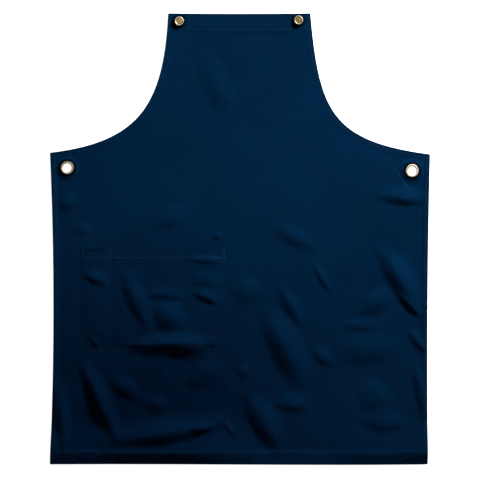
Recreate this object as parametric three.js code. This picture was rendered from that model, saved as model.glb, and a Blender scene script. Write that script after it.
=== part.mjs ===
import * as THREE from "three";

// A bib apron that lies flat with its outside up. Millimetres, +X to the right as seen from above,
// +Y up the bib, +Z up. The origin is on the surface it lies on, under the middle of the apron.

// The cut of the apron
const WIDTH = 686;
const LENGTH = 815;
const BIB_WIDTH = 257;
const ARMHOLE_DEPTH = 252.7;

// How it happens to lie: the bib a little to the left, the left armhole a little shorter than the right
// one, the right end of the bottom edge drawn in, and the bottom corners a little above the lowest point
const BIB_SHIFT = -1.3;
const ARMHOLE_SKEW = 1.5;
const BOTTOM_DRAWN_IN = 4.3;
const BOTTOM_CORNER_RISE = 1;

// Cloth, the air between one layer and the next, and the extra air round metal that goes through the cloth
const CLOTH = 1.2;
const GAP = 0.3;
const HOLE_EASE = 0.1;

// Turned hems
const NARROW_HEM = 6.5;
const TOP_HEM = 29;
const BOTTOM_HEM = 23.5;

// Pocket
const POCKET_WIDTH = 262;
const POCKET_HEIGHT = 176.3;
const POCKET_FROM_SIDE = 55.5;
const POCKET_FROM_TOP = 426.6;
const POCKET_HEM = 15.8;
const POCKET_CORNER_ACROSS = 20.5;
const POCKET_CORNER_UP = 28;
const PEN_SLOT_WIDTH = 54;
const POCKET_GAPE = 6.5;
const POCKET_SHOULDER = 36;

// Eyelets
const EYELET_BORE_RADIUS = 8;
const EYELET_FLANGE_RADIUS = 13;
const EYELET_WALL = 0.6;
const EYELET_CROWN = 2;
const EYELET_ROLL = 0.6;
const WASHER = 0.6;

// Buttons and the tacks behind them
const BUTTON_RADIUS = 8.5;
const BUTTON_HEIGHT = 4.2;
const BUTTON_DISC_RADIUS = 5.5;
const BUTTON_DISH = 0.8;
const SHANK_RADIUS = 3.3;
const NAIL_RADIUS = 1.2;
const NAIL_REACH = 2;
const TACK_HEAD = 1;
const TACK_RADIUS = 5;

// Where the metal sits on each side: the middle of the eyelet in from the side edge and down from the side
// corner, and the middle of the button in from the corner of the bib and down from the top
const METAL_PLACES = {
  left: { eyeletIn: 31.4, eyeletDown: 27.9, buttonIn: 20.2, buttonDown: 15 },
  right: { eyeletIn: 32.6, eyeletDown: 30.1, buttonIn: 21.8, buttonDown: 13.2 },
};

// Folds, how far the cloth takes to settle beside something that lifts it, and how far past the metal's rim
// it stays flat
const FOLD_HEIGHT = 7;
const POCKET_FOLD_HEIGHT = 3;
const SETTLE = 16;
const METAL_SETTLE = 12;
const FLAT_MARGIN = 0.6;

// The share of half a fold's length over which its ends run out
const FOLD_TAPER = 0.7;

// How finely the cloth is divided: along the outline, along the short top edge, in the open panel,
// in the pocket and along a fold, and how many sides the metal and the rings round it have
const EDGE_STEP = 15;
const TOP_STEP = 8;
const PANEL_STEP = 28;
const POCKET_STEP = 14;
const FOLD_STEP = 20;
const METAL_SIDES = 20;
const NAIL_SIDES = 10;
const OUTER_RING_SIDES = 14;

// Folds of the panel. across and up place the middle of the crest, as shares of the width and the length.
// turn is its direction in degrees from +X. long and wide are shares of the width, high is a share of the
// fold height, and lean is the share of half the width that the steeper lower left flank takes.
const FOLDS = [
  { across: 0.411, up: -0.09, turn: -61, long: 0.19, wide: 0.05, high: 1, lean: 0.7 },
  { across: 0.475, up: -0.215, turn: -69, long: 0.085, wide: 0.036, high: 0.6, lean: 0.8 },
  { across: 0.47, up: -0.33, turn: -87, long: 0.105, wide: 0.034, high: 0.5, lean: 0.8 },
  { across: 0.404, up: 0.075, turn: -15, long: 0.164, wide: 0.052, high: 0.6, lean: 0.8 },
  { across: 0.228, up: -0.084, turn: -58, long: 0.11, wide: 0.042, high: 0.6, lean: 0.7 },
  { across: 0.149, up: 0.016, turn: -25, long: 0.13, wide: 0.05, high: 0.55, lean: 0.8 },
  { across: 0.143, up: -0.167, turn: -61, long: 0.21, wide: 0.067, high: 0.9, lean: 0.8 },
  { across: 0.178, up: -0.282, turn: -95, long: 0.17, wide: 0.06, high: 0.75, lean: 0.8 },
  { across: 0.068, up: -0.404, turn: -55, long: 0.17, wide: 0.055, high: 0.8, lean: 0.8 },
  { across: -0.032, up: -0.415, turn: -56, long: 0.09, wide: 0.034, high: 0.4, lean: 0.8 },
  { across: -0.384, up: -0.323, turn: -59, long: 0.17, wide: 0.05, high: 0.85, lean: 0.8 },
  { across: -0.326, up: -0.408, turn: -67, long: 0.12, wide: 0.048, high: 0.7, lean: 0.8 },
  { across: -0.182, up: -0.419, turn: 9, long: 0.24, wide: 0.05, high: 0.85, lean: 0.8 },
  { across: -0.169, up: -0.233, turn: -4, long: 0.18, wide: 0.055, high: 0.6, lean: 0.8 },
  { across: -0.185, up: 0.06, turn: 18, long: 0.12, wide: 0.05, high: 0.4, lean: 1 },
  { across: -0.46, up: 0.071, turn: 41, long: 0.075, wide: 0.042, high: 0.45, lean: 1 },
  { across: -0.062, up: 0.343, turn: -62, long: 0.188, wide: 0.093, high: 0.3, lean: 1 },
];

// Folds of the pocket. across and down are shares of the pocket's width and height from its upper left
// corner, and the other columns are as above, with long and wide as shares of the pocket's width.
const POCKET_FOLDS = [
  { across: 0.48, down: 0.54, turn: -51, long: 0.4, wide: 0.13, high: 1, lean: 0.8 },
  { across: 0.79, down: 0.43, turn: -8, long: 0.32, wide: 0.12, high: 0.8, lean: 0.8 },
  { across: 0.1, down: 0.6, turn: -75, long: 0.3, wide: 0.11, high: 0.6, lean: 1 },
  { across: 0.78, down: 0.74, turn: 12, long: 0.3, wide: 0.12, high: 0.7, lean: 1 },
];

// Corners of the outline
const corners = {
  bibRight: new THREE.Vector2(BIB_WIDTH / 2 + BIB_SHIFT, LENGTH / 2),
  bibLeft: new THREE.Vector2(-BIB_WIDTH / 2 + BIB_SHIFT, LENGTH / 2),
  sideLeft: new THREE.Vector2(-WIDTH / 2, LENGTH / 2 - ARMHOLE_DEPTH + ARMHOLE_SKEW),
  bottomLeft: new THREE.Vector2(-WIDTH / 2, -LENGTH / 2 + BOTTOM_CORNER_RISE),
  bottomRight: new THREE.Vector2(WIDTH / 2 - BOTTOM_DRAWN_IN, -LENGTH / 2 + BOTTOM_CORNER_RISE),
  sideRight: new THREE.Vector2(WIDTH / 2, LENGTH / 2 - ARMHOLE_DEPTH - ARMHOLE_SKEW),
};

// Edges of the outline, anticlockwise from above. Each is one cubic curve: along and in place its two
// middle control points, as shares of the straight line between the corners, along it and in towards the
// cloth.
const EDGES = [
  { name: "top_hem", from: "bibRight", to: "bibLeft", hem: TOP_HEM, step: TOP_STEP,
    along: [0.33, 0.67], in: [0.005, 0.005] },
  { name: "left_armhole_hem", from: "bibLeft", to: "sideLeft", hem: NARROW_HEM, step: EDGE_STEP,
    along: [0.388, 0.632], in: [0.297, 0.344] },
  { name: "left_side_hem", from: "sideLeft", to: "bottomLeft", hem: NARROW_HEM, step: EDGE_STEP,
    along: [0.33, 0.67], in: [0.015, 0.015] },
  { name: "bottom_hem", from: "bottomLeft", to: "bottomRight", hem: BOTTOM_HEM, step: EDGE_STEP,
    along: [0.4, 0.72], in: [0.002, -0.004] },
  { name: "right_side_hem", from: "bottomRight", to: "sideRight", hem: NARROW_HEM, step: EDGE_STEP,
    along: [0.4, 0.67], in: [0.006, 0.006] },
  { name: "right_armhole_hem", from: "sideRight", to: "bibRight", hem: NARROW_HEM, step: EDGE_STEP,
    along: [0.403, 0.568], in: [0.366, 0.303] },
];

const canvas = new THREE.MeshStandardMaterial({ color: 0x021f3a, roughness: 0.9, metalness: 0 });
const brass = new THREE.MeshStandardMaterial({ color: 0xb09a72, roughness: 0.4, metalness: 1 });
const steel = new THREE.MeshStandardMaterial({ color: 0x8d8778, roughness: 0.45, metalness: 1 });

// Small helpers

const clamp01 = (value) => Math.min(1, Math.max(0, value));
const ease = (value) => clamp01(value) ** 2 * (3 - 2 * clamp01(value));
const crest = (value) => Math.cos((Math.PI / 2) * clamp01(Math.abs(value))) ** 2;
const leftOf = (vector) => new THREE.Vector2(-vector.y, vector.x);

function distanceToSegment(p, a, b) {
  const along = b.clone().sub(a);
  const share = clamp01(p.clone().sub(a).dot(along) / along.lengthSq());
  return p.distanceTo(a.clone().addScaledVector(along, share));
}

// The net: one set of points in the plan that every layer of cloth shares, so layers never cross

const net = [];
const netIndex = new Map();
const MOST_POINTS = 100000;

function netPoint(p) {
  const key = `${p.x.toFixed(3)} ${p.y.toFixed(3)}`;
  if (!netIndex.has(key)) {
    netIndex.set(key, net.length);
    net.push(p.clone());
  }
  return netIndex.get(key);
}

function netLine(a, b, step) {
  const count = Math.max(1, Math.round(a.distanceTo(b) / step));
  return Array.from({ length: count + 1 }, (_, k) => netPoint(a.clone().lerp(b, k / count)));
}

function netRing(center, radius, count) {
  return Array.from({ length: count }, (_, k) => {
    const angle = (2 * Math.PI * k) / count;
    return netPoint(new THREE.Vector2(Math.cos(angle), Math.sin(angle)).multiplyScalar(radius).add(center));
  });
}

// Lines that follow each other end to end, as one closed loop
function netLoop(...lines) {
  return lines.flatMap((line) => line.slice(0, -1));
}

const reversed = (line) => [...line].reverse();

function distanceToLine(p, line) {
  let nearest = Infinity;
  for (let k = 1; k < line.length; k += 1) {
    nearest = Math.min(nearest, distanceToSegment(p, net[line[k - 1]], net[line[k]]));
  }
  return nearest;
}

// A copy of a point moved by a few hundredths, so that no three are exactly in line and no four are on one
// circle. The two turns are far from any simple share of a circle, so the moves look unordered.
const NUDGE = 0.03;
const NUDGE_TURN_X = 12.9898;
const NUDGE_TURN_Y = 78.233;

function nudged(i) {
  const move = new THREE.Vector2(Math.sin(NUDGE_TURN_X * i), Math.sin(NUDGE_TURN_Y * i));
  return net[i].clone().addScaledVector(move, NUDGE);
}

function turnsLeft(a, b, p) {
  return (b.x - a.x) * (p.y - a.y) - (b.y - a.y) * (p.x - a.x) > 0;
}

function insideCircle(a, b, c, p) {
  const [ax, ay, bx, by, cx, cy] = [a.x - p.x, a.y - p.y, b.x - p.x, b.y - p.y, c.x - p.x, c.y - p.y];
  const aa = ax * ax + ay * ay;
  const bb = bx * bx + by * by;
  const cc = cx * cx + cy * cy;
  return aa * (bx * cy - cx * by) - bb * (ax * cy - cx * ay) + cc * (ax * by - bx * ay) > 1e-6;
}

// Triangles that fill a loop around its holes. The corners are cut off first, then each inside point splits
// the triangle it is in, and an edge is swapped wherever that makes its two triangles rounder.
function fillLoop(loop, holes, inside) {
  const at = new Map([loop, ...holes, inside].flat().map((i) => [i, nudged(i)]));
  const rim = [loop, ...holes].flat();
  const tips = new Map();
  const key = (a, b) => a * MOST_POINTS + b;
  const add = (a, b, c) => tips.set(key(a, b), c).set(key(b, c), a).set(key(c, a), b);
  const remove = (a, b, c) => [key(a, b), key(b, c), key(c, a)].forEach((edge) => tips.delete(edge));

  function triangles() {
    const found = [];
    for (const [edge, c] of tips) {
      const a = Math.floor(edge / MOST_POINTS);
      const b = edge % MOST_POINTS;
      if (a < b && a < c) found.push([a, b, c]);
    }
    return found;
  }

  function settle(a, b) {
    const c = tips.get(key(a, b));
    const d = tips.get(key(b, a));
    if (c === undefined || d === undefined) return;
    if (!insideCircle(at.get(a), at.get(b), at.get(c), at.get(d))) return;
    remove(a, b, c);
    remove(b, a, d);
    add(c, d, b);
    add(d, c, a);
    [[b, c], [c, a], [a, d], [d, b]].forEach(([from, to]) => settle(from, to));
  }

  const points = (indices) => indices.map((i) => at.get(i));
  for (const face of THREE.ShapeUtils.triangulateShape(points(loop), holes.map(points))) {
    const [a, b, c] = face.map((k) => rim[k]);
    if (turnsLeft(at.get(a), at.get(b), at.get(c))) add(a, b, c);
    else add(a, c, b);
  }
  triangles().forEach(([a, b]) => settle(a, b));
  for (const p of inside) {
    const q = at.get(p);
    const home = triangles().find(([a, b, c]) => turnsLeft(at.get(a), at.get(b), q)
      && turnsLeft(at.get(b), at.get(c), q) && turnsLeft(at.get(c), at.get(a), q));
    if (!home) continue;
    const [a, b, c] = home;
    remove(a, b, c);
    add(a, b, p);
    add(b, c, p);
    add(c, a, p);
    [[a, b], [b, c], [c, a]].forEach(([from, to]) => settle(from, to));
  }
  triangles().forEach(([a, b, c]) => [[a, b], [b, c], [c, a]].forEach(([from, to]) => settle(from, to)));
  return triangles();
}

// Outline: the outer and inner line of each hem, with mitred ends

function edgeCurve(edge) {
  const start = corners[edge.from];
  const end = corners[edge.to];
  const chord = end.clone().sub(start);
  const control = (k) => start.clone().addScaledVector(chord, edge.along[k])
    .addScaledVector(leftOf(chord), edge.in[k]);
  return new THREE.CubicBezierCurve(start, control(0), control(1), end);
}

for (const edge of EDGES) edge.curve = edgeCurve(edge);

// Where the inner lines of two neighbouring hems meet
function mitre(before, after) {
  const corner = corners[after.from];
  const inBefore = leftOf(before.curve.getTangent(1));
  const inAfter = leftOf(after.curve.getTangent(0));
  const cross = inBefore.cross(inAfter);
  const x = (before.hem * inAfter.y - after.hem * inBefore.y) / cross;
  const y = (after.hem * inBefore.x - before.hem * inAfter.x) / cross;
  return new THREE.Vector2(x, y).add(corner);
}

function layOutHem(edge, before, after) {
  const { curve } = edge;
  const length = curve.getLength();
  const first = mitre(before, edge);
  const last = mitre(edge, after);
  const skipFirst = first.clone().sub(curve.v0).dot(curve.getTangent(0));
  const skipLast = curve.v3.clone().sub(last).dot(curve.getTangent(1));
  const count = Math.max(2, Math.round((length - skipFirst - skipLast) / edge.step));
  edge.outer = [netPoint(curve.v0)];
  edge.inner = [];
  for (let k = 0; k <= count; k += 1) {
    const share = (skipFirst + ((length - skipFirst - skipLast) * k) / count) / length;
    const p = curve.getPointAt(share);
    const inward = leftOf(curve.getTangentAt(share)).multiplyScalar(edge.hem);
    edge.outer.push(netPoint(p));
    if (k === 0) edge.inner.push(netPoint(first));
    else if (k === count) edge.inner.push(netPoint(last));
    else edge.inner.push(netPoint(p.clone().add(inward)));
  }
  edge.outer.push(netPoint(curve.v3));
}

EDGES.forEach((edge, k) => layOutHem(edge, EDGES.at(k - 1), EDGES[(k + 1) % EDGES.length]));
const innerLoop = netLoop(...EDGES.map((edge) => edge.inner));

// Metal: where the eyelets and buttons sit

const SIDES = [
  { name: "left", sign: -1, side: corners.sideLeft, bib: corners.bibLeft },
  { name: "right", sign: 1, side: corners.sideRight, bib: corners.bibRight },
];
for (const side of SIDES) {
  const place = METAL_PLACES[side.name];
  const eyeletMove = new THREE.Vector2(-side.sign * place.eyeletIn, -place.eyeletDown);
  const buttonMove = new THREE.Vector2(-side.sign * place.buttonIn, -place.buttonDown);
  side.eyelet = side.side.clone().add(eyeletMove);
  side.button = side.bib.clone().add(buttonMove);
}

const barrelRadius = EYELET_BORE_RADIUS + EYELET_WALL;
const eyeletHoleRadius = barrelRadius + GAP + HOLE_EASE;
const eyeletFlatRadius = EYELET_FLANGE_RADIUS + FLAT_MARGIN;
const nailHoleRadius = NAIL_RADIUS + GAP + HOLE_EASE;
const tackFlatRadius = TACK_RADIUS + FLAT_MARGIN;
for (const side of SIDES) {
  side.eyeletHole = netRing(side.eyelet, eyeletHoleRadius, METAL_SIDES);
  side.nailHole = netRing(side.button, nailHoleRadius, NAIL_SIDES);
  side.eyeletRings = [
    ...netRing(side.eyelet, eyeletFlatRadius, METAL_SIDES),
    ...netRing(side.eyelet, eyeletFlatRadius + METAL_SETTLE, OUTER_RING_SIDES),
  ];
  side.tackRing = netRing(side.button, tackFlatRadius, NAIL_SIDES);
}

// Pocket: its seams and the lines that divide it into four cells

const pocketLeft = -WIDTH / 2 + POCKET_FROM_SIDE;
const pocketRight = pocketLeft + POCKET_WIDTH;
const pocketTop = LENGTH / 2 - POCKET_FROM_TOP;
const pocketBottom = pocketTop - POCKET_HEIGHT;
const pocketBand = pocketTop - POCKET_HEM;
const divider = pocketLeft + PEN_SLOT_WIDTH;
const leftCornerX = pocketLeft + POCKET_CORNER_ACROSS;
const rightCornerX = pocketRight - POCKET_CORNER_ACROSS;
const cornerTop = pocketBottom + POCKET_CORNER_UP;

function pocketLine(x0, y0, x1, y1) {
  return netLine(new THREE.Vector2(x0, y0), new THREE.Vector2(x1, y1), POCKET_STEP);
}

const seam = {
  mouthPen: pocketLine(divider, pocketTop, pocketLeft, pocketTop),
  mouthMain: pocketLine(pocketRight, pocketTop, divider, pocketTop),
  bandPen: pocketLine(pocketLeft, pocketBand, divider, pocketBand),
  bandMain: pocketLine(divider, pocketBand, pocketRight, pocketBand),
  leftTop: pocketLine(pocketLeft, pocketTop, pocketLeft, pocketBand),
  leftLow: pocketLine(pocketLeft, pocketBand, pocketLeft, cornerTop),
  leftCorner: pocketLine(pocketLeft, cornerTop, leftCornerX, pocketBottom),
  bottomPen: pocketLine(leftCornerX, pocketBottom, divider, pocketBottom),
  bottomMain: pocketLine(divider, pocketBottom, rightCornerX, pocketBottom),
  rightCorner: pocketLine(rightCornerX, pocketBottom, pocketRight, cornerTop),
  rightLow: pocketLine(pocketRight, cornerTop, pocketRight, pocketBand),
  rightTop: pocketLine(pocketRight, pocketBand, pocketRight, pocketTop),
  dividerTop: pocketLine(divider, pocketBand, divider, pocketTop),
  dividerLow: pocketLine(divider, pocketBottom, divider, pocketBand),
};
const pocketLoop = netLoop(seam.mouthMain, seam.mouthPen, seam.leftTop, seam.leftLow, seam.leftCorner,
  seam.bottomPen, seam.bottomMain, seam.rightCorner, seam.rightLow, seam.rightTop);
const cellLoops = {
  penBand: netLoop(seam.mouthPen, seam.leftTop, seam.bandPen, seam.dividerTop),
  mainBand: netLoop(seam.mouthMain, reversed(seam.dividerTop), seam.bandMain, seam.rightTop),
  pen: netLoop(reversed(seam.bandPen), seam.leftLow, seam.leftCorner, seam.bottomPen, seam.dividerLow),
  main: netLoop(reversed(seam.bandMain), reversed(seam.dividerLow), seam.bottomMain, seam.rightCorner,
    seam.rightLow),
};
const sewnLines = [seam.leftTop, seam.leftLow, seam.leftCorner, seam.bottomPen, seam.bottomMain,
  seam.rightCorner, seam.rightLow, seam.rightTop, seam.dividerTop, seam.dividerLow];

// Folds: where each one lies, its lift, and the points that its crest and feet add to the net

function placeFold(fold, center, span, height) {
  const angle = THREE.MathUtils.degToRad(fold.turn);
  const direction = new THREE.Vector2(Math.cos(angle), Math.sin(angle));
  const side = leftOf(direction);
  if (side.x + side.y < 0) side.negate();
  return { center, direction, side, half: (fold.long * span) / 2, spread: (fold.wide * span) / 2,
    steep: (fold.lean * fold.wide * span) / 2, height: fold.high * height };
}

const panelFolds = FOLDS.map((fold) => placeFold(fold,
  new THREE.Vector2(fold.across * WIDTH, fold.up * LENGTH), WIDTH, FOLD_HEIGHT));
const pocketFolds = POCKET_FOLDS.map((fold) => placeFold(fold,
  new THREE.Vector2(pocketLeft + fold.across * POCKET_WIDTH, pocketTop - fold.down * POCKET_HEIGHT),
  POCKET_WIDTH, POCKET_FOLD_HEIGHT));

function liftOf(folds, p) {
  let lift = 0;
  for (const fold of folds) {
    const offset = p.clone().sub(fold.center);
    const across = offset.dot(fold.side);
    const flank = across < 0 ? fold.steep : fold.spread;
    const fromEnd = 1 - Math.abs(offset.dot(fold.direction)) / fold.half;
    lift += fold.height * ease(fromEnd / FOLD_TAPER) * crest(across / flank);
  }
  return lift;
}

function foldPoints(fold) {
  const count = Math.max(2, Math.round((2 * fold.half) / FOLD_STEP));
  const found = [];
  for (const across of [0, fold.spread, -fold.steep]) {
    for (let k = 0; k <= count; k += 1) {
      const along = fold.half * ((2 * k) / count - 1);
      const onCrest = fold.center.clone().addScaledVector(fold.direction, along);
      found.push(onCrest.addScaledVector(fold.side, across));
    }
  }
  return found;
}

// Points inside a loop, each at least the given distance from its rim and from the points before it
function scatter(candidates, loop, holes, taken, apart) {
  const shape = loop.map((i) => net[i]);
  const holeShapes = holes.map((hole) => hole.map((i) => net[i]));
  const inPolygon = (p, polygon) => polygon.reduce((inside, a, k) => {
    const b = polygon.at(k - 1);
    const crosses = (a.y > p.y) !== (b.y > p.y) && p.x < ((b.x - a.x) * (p.y - a.y)) / (b.y - a.y) + a.x;
    return crosses ? !inside : inside;
  }, false);
  const rims = [loop, ...holes].map((rim) => [...rim, rim[0]]);
  const kept = [...taken];
  for (const p of candidates) {
    if (!inPolygon(p, shape) || holeShapes.some((hole) => inPolygon(p, hole))) continue;
    if (rims.some((rim) => distanceToLine(p, rim) < apart)) continue;
    if (kept.some((i) => net[i].distanceTo(p) < apart)) continue;
    kept.push(netPoint(p));
  }
  return kept;
}

// Staggered rows of points over the whole apron
function lattice(step) {
  const rowStep = (step * Math.sqrt(3)) / 2;
  const rows = Math.ceil(LENGTH / rowStep);
  const columns = Math.ceil(WIDTH / step);
  const found = [];
  for (let row = 0; row <= rows; row += 1) {
    const stagger = (row % 2) / 2;
    for (let column = 0; column <= columns; column += 1) {
      const across = step * (column + stagger) - WIDTH / 2;
      found.push(new THREE.Vector2(across, rowStep * row - LENGTH / 2));
    }
  }
  return found;
}

const CLOSEST = 0.55;
const panelPoints = [...panelFolds.flatMap(foldPoints), ...lattice(PANEL_STEP)];
const pocketPoints = [...pocketFolds.flatMap(foldPoints), ...lattice(POCKET_STEP)];

// Faces of each region of the net
const regions = {};
for (const edge of EDGES) {
  const isTop = edge.name === "top_hem";
  const loop = [...edge.outer, ...reversed(edge.inner)];
  const holes = isTop ? SIDES.map((side) => side.nailHole) : [];
  const rings = isTop ? SIDES.flatMap((side) => side.tackRing) : [];
  const inside = isTop ? scatter(lattice(TOP_STEP * 2), loop, holes, rings, TOP_STEP * CLOSEST * 2) : [];
  regions[edge.name] = fillLoop(loop, holes, inside);
}
for (const [name, loop] of Object.entries(cellLoops)) {
  regions[name] = fillLoop(loop, [], scatter(pocketPoints, loop, [], [], POCKET_STEP * CLOSEST));
}
const bodyHoles = [pocketLoop, ...SIDES.map((side) => side.eyeletHole)];
const bodyRings = SIDES.flatMap((side) => side.eyeletRings);
regions.body = fillLoop(innerLoop, bodyHoles,
  scatter(panelPoints, innerLoop, bodyHoles, bodyRings, EDGE_STEP * CLOSEST));

// Heights of the layers at each point of the net

const hemStack = CLOTH + GAP;
const tackStack = TACK_HEAD + GAP;
const eyeletStack = EYELET_ROLL + GAP + WASHER + GAP;
const inHem = new Set(EDGES.flatMap((edge) => regions[edge.name].flat()));
const inBand = new Set([...regions.penBand, ...regions.mainBand].flat());
const closedInnerLoop = [...innerLoop, innerLoop[0]];
const bandLine = [...seam.bandPen, ...seam.bandMain.slice(1)];

// One on the flat cloth round a piece of metal, easing to nothing where the cloth has settled beside it
const nearMetal = (p, place, flat) => 1 - ease((p.distanceTo(place) - flat) / METAL_SETTLE);

const heights = net.map((p, i) => {
  let [calm, tacks, eyelets] = [1, 0, 0];
  for (const side of SIDES) {
    const atEyelet = nearMetal(p, side.eyelet, eyeletFlatRadius);
    calm *= (1 - atEyelet) * (1 - nearMetal(p, side.button, BUTTON_RADIUS));
    tacks += nearMetal(p, side.button, tackFlatRadius);
    eyelets += atEyelet;
  }
  const hemShare = inHem.has(i) ? 1 : 1 - ease(distanceToLine(p, closedInnerLoop) / SETTLE);
  const hem = calm * liftOf(panelFolds, p) + tackStack * tacks;
  const panel = hem + Math.max(hemStack * hemShare, eyeletStack * eyelets);
  const sewn = Math.min(...sewnLines.map((line) => distanceToLine(p, line)));
  const loose = Math.sin((Math.PI / 2) * clamp01(sewn / POCKET_SHOULDER));
  const band = panel + CLOTH + GAP + loose * (POCKET_GAPE + liftOf(pocketFolds, p));
  const bandShare = inBand.has(i) ? 1 : 1 - ease(distanceToLine(p, bandLine) / SETTLE);
  return { hem, panel, band, pocket: band + (CLOTH + GAP) * bandShare };
});

// A sheet of cloth over some faces of the net: top, underside and cut edges. moved shifts single points in
// plan.
function clothSheet(name, faces, layer, moved = new Map()) {
  const used = [...new Set(faces.flat())];
  const slot = new Map(used.map((i, k) => [i, k]));
  const positions = [];
  for (const thickness of [0, CLOTH]) {
    for (const i of used) {
      const p = net[i].clone().add(moved.get(i) ?? new THREE.Vector2());
      positions.push(p.x, p.y, heights[i][layer] + thickness);
    }
  }
  const lower = (i) => slot.get(i);
  const upper = (i) => slot.get(i) + used.length;
  const edges = new Set(faces.flatMap(([a, b, c]) => [`${a} ${b}`, `${b} ${c}`, `${c} ${a}`]));
  const index = [];
  for (const [a, b, c] of faces) {
    index.push(upper(a), upper(b), upper(c), lower(a), lower(c), lower(b));
  }
  for (const edge of edges) {
    const [a, b] = edge.split(" ").map(Number);
    if (edges.has(`${b} ${a}`)) continue;
    index.push(lower(a), lower(b), upper(b), lower(a), upper(b), upper(a));
  }
  const geometry = new THREE.BufferGeometry();
  geometry.setAttribute("position", new THREE.Float32BufferAttribute(positions, 3));
  geometry.setIndex(index);
  geometry.computeVertexNormals();
  const mesh = new THREE.Mesh(geometry, canvas);
  mesh.name = name;
  return mesh;
}

// Half the gap between two mitred hems, taken off this hem's end along its own edge
function mitreTrim(edge, atStart) {
  const k = atStart ? 0 : -1;
  const [cornerPoint, mitrePoint] = [edge.outer.at(k), edge.inner.at(k)];
  const along = edge.curve.getTangent(atStart ? 0 : 1).multiplyScalar(atStart ? 1 : -1);
  const line = net[mitrePoint].clone().sub(net[cornerPoint]).normalize();
  const shift = along.clone().multiplyScalar(GAP / 2 / Math.abs(along.cross(line)));
  return [[cornerPoint, shift], [mitrePoint, shift]];
}

function hemStrip(edge) {
  const moved = new Map([...mitreTrim(edge, true), ...mitreTrim(edge, false)]);
  return clothSheet(edge.name, regions[edge.name], "hem", moved);
}

// A turned piece from its half section: [radius, height] pairs, around a vertical axis
function turned(name, section, sides, center, material, closed) {
  const points = section.map(([radius, height]) => new THREE.Vector2(radius, height));
  if (closed) points.push(points[0].clone());
  const geometry = new THREE.LatheGeometry(points, sides);
  geometry.rotateY(Math.PI / 2);
  geometry.rotateX(Math.PI / 2);
  const mesh = new THREE.Mesh(geometry, material);
  mesh.name = name;
  mesh.position.set(center.x, center.y, 0);
  return mesh;
}

// Heights at an eyelet, from the surface up
const washerUnder = EYELET_ROLL + GAP;
const panelAtEyelet = eyeletStack + CLOTH;
const flangeUnder = panelAtEyelet + GAP;

function eyelet(side) {
  const bore = EYELET_BORE_RADIUS;
  const rim = EYELET_FLANGE_RADIUS;
  const crownWidth = rim - bore;
  const top = flangeUnder + EYELET_CROWN;
  return turned(`${side.name}_eyelet`, [
    [bore, EYELET_ROLL / 2],
    [bore + crownWidth * 0.06, 0],
    [rim - crownWidth * 0.45, 0],
    [rim - crownWidth * 0.4, EYELET_ROLL / 2],
    [rim - crownWidth * 0.45, EYELET_ROLL],
    [barrelRadius, EYELET_ROLL],
    [barrelRadius, flangeUnder],
    [rim, flangeUnder],
    [rim, flangeUnder + EYELET_CROWN * 0.2],
    [rim - crownWidth * 0.2, flangeUnder + EYELET_CROWN * 0.7],
    [rim - crownWidth * 0.42, top],
    [rim - crownWidth * 0.72, top],
    [rim - crownWidth * 0.92, flangeUnder + EYELET_CROWN * 0.7],
    [bore, flangeUnder + EYELET_CROWN * 0.3],
  ], METAL_SIDES, side.eyelet, brass, true);
}

function eyeletWasher(side) {
  return turned(`${side.name}_eyelet_washer`, [
    [eyeletHoleRadius, washerUnder],
    [EYELET_FLANGE_RADIUS, washerUnder],
    [EYELET_FLANGE_RADIUS, washerUnder + WASHER],
    [eyeletHoleRadius, washerUnder + WASHER],
  ], METAL_SIDES, side.eyelet, steel, true);
}

// Heights at a button, from the surface up
const panelAtButton = tackStack + CLOTH + GAP + CLOTH;
const shankUnder = panelAtButton + GAP;
const nailTop = panelAtButton + NAIL_REACH;

function button(side) {
  const boreRadius = NAIL_RADIUS + GAP;
  const capUnder = nailTop + GAP * 0.5;
  const top = panelAtButton + BUTTON_HEIGHT;
  const disc = top - BUTTON_DISH;
  return turned(`${side.name}_button`, [
    [0, nailTop + GAP],
    [boreRadius, nailTop + GAP],
    [boreRadius, shankUnder],
    [SHANK_RADIUS, shankUnder],
    [SHANK_RADIUS, shankUnder + GAP * 2],
    [SHANK_RADIUS * 0.85, capUnder - GAP],
    [BUTTON_RADIUS * 0.9, capUnder],
    [BUTTON_RADIUS, (capUnder * 2 + top) / 3],
    [BUTTON_RADIUS * 0.97, (capUnder + top * 3) / 4],
    [BUTTON_RADIUS * 0.88, top],
    [BUTTON_RADIUS * 0.76, top],
    [BUTTON_DISC_RADIUS, disc],
    [0, disc],
  ], METAL_SIDES, side.button, brass, false);
}

function buttonTack(side) {
  return turned(`${side.name}_button_tack`, [
    [0, 0],
    [TACK_RADIUS * 0.92, 0],
    [TACK_RADIUS, TACK_HEAD * 0.4],
    [TACK_RADIUS * 0.92, TACK_HEAD],
    [NAIL_RADIUS, TACK_HEAD],
    [NAIL_RADIUS, nailTop - NAIL_RADIUS],
    [NAIL_RADIUS * 0.4, nailTop],
    [0, nailTop],
  ], NAIL_SIDES, side.button, steel, false);
}

const apron = new THREE.Group();
apron.add(clothSheet("apron_panel", Object.values(regions).flat(), "panel"));
for (const edge of EDGES) apron.add(hemStrip(edge));
const bandFaces = [...regions.penBand, ...regions.mainBand];
apron.add(clothSheet("pocket", [...bandFaces, ...regions.pen, ...regions.main], "pocket"));
apron.add(clothSheet("pocket_hem", bandFaces, "band"));
for (const side of SIDES) {
  apron.add(eyelet(side), eyeletWasher(side), button(side), buttonTack(side));
}

export default apron;
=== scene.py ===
import math

import bmesh
import bpy
import numpy as np
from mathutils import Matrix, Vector, geometry, kdtree


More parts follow.
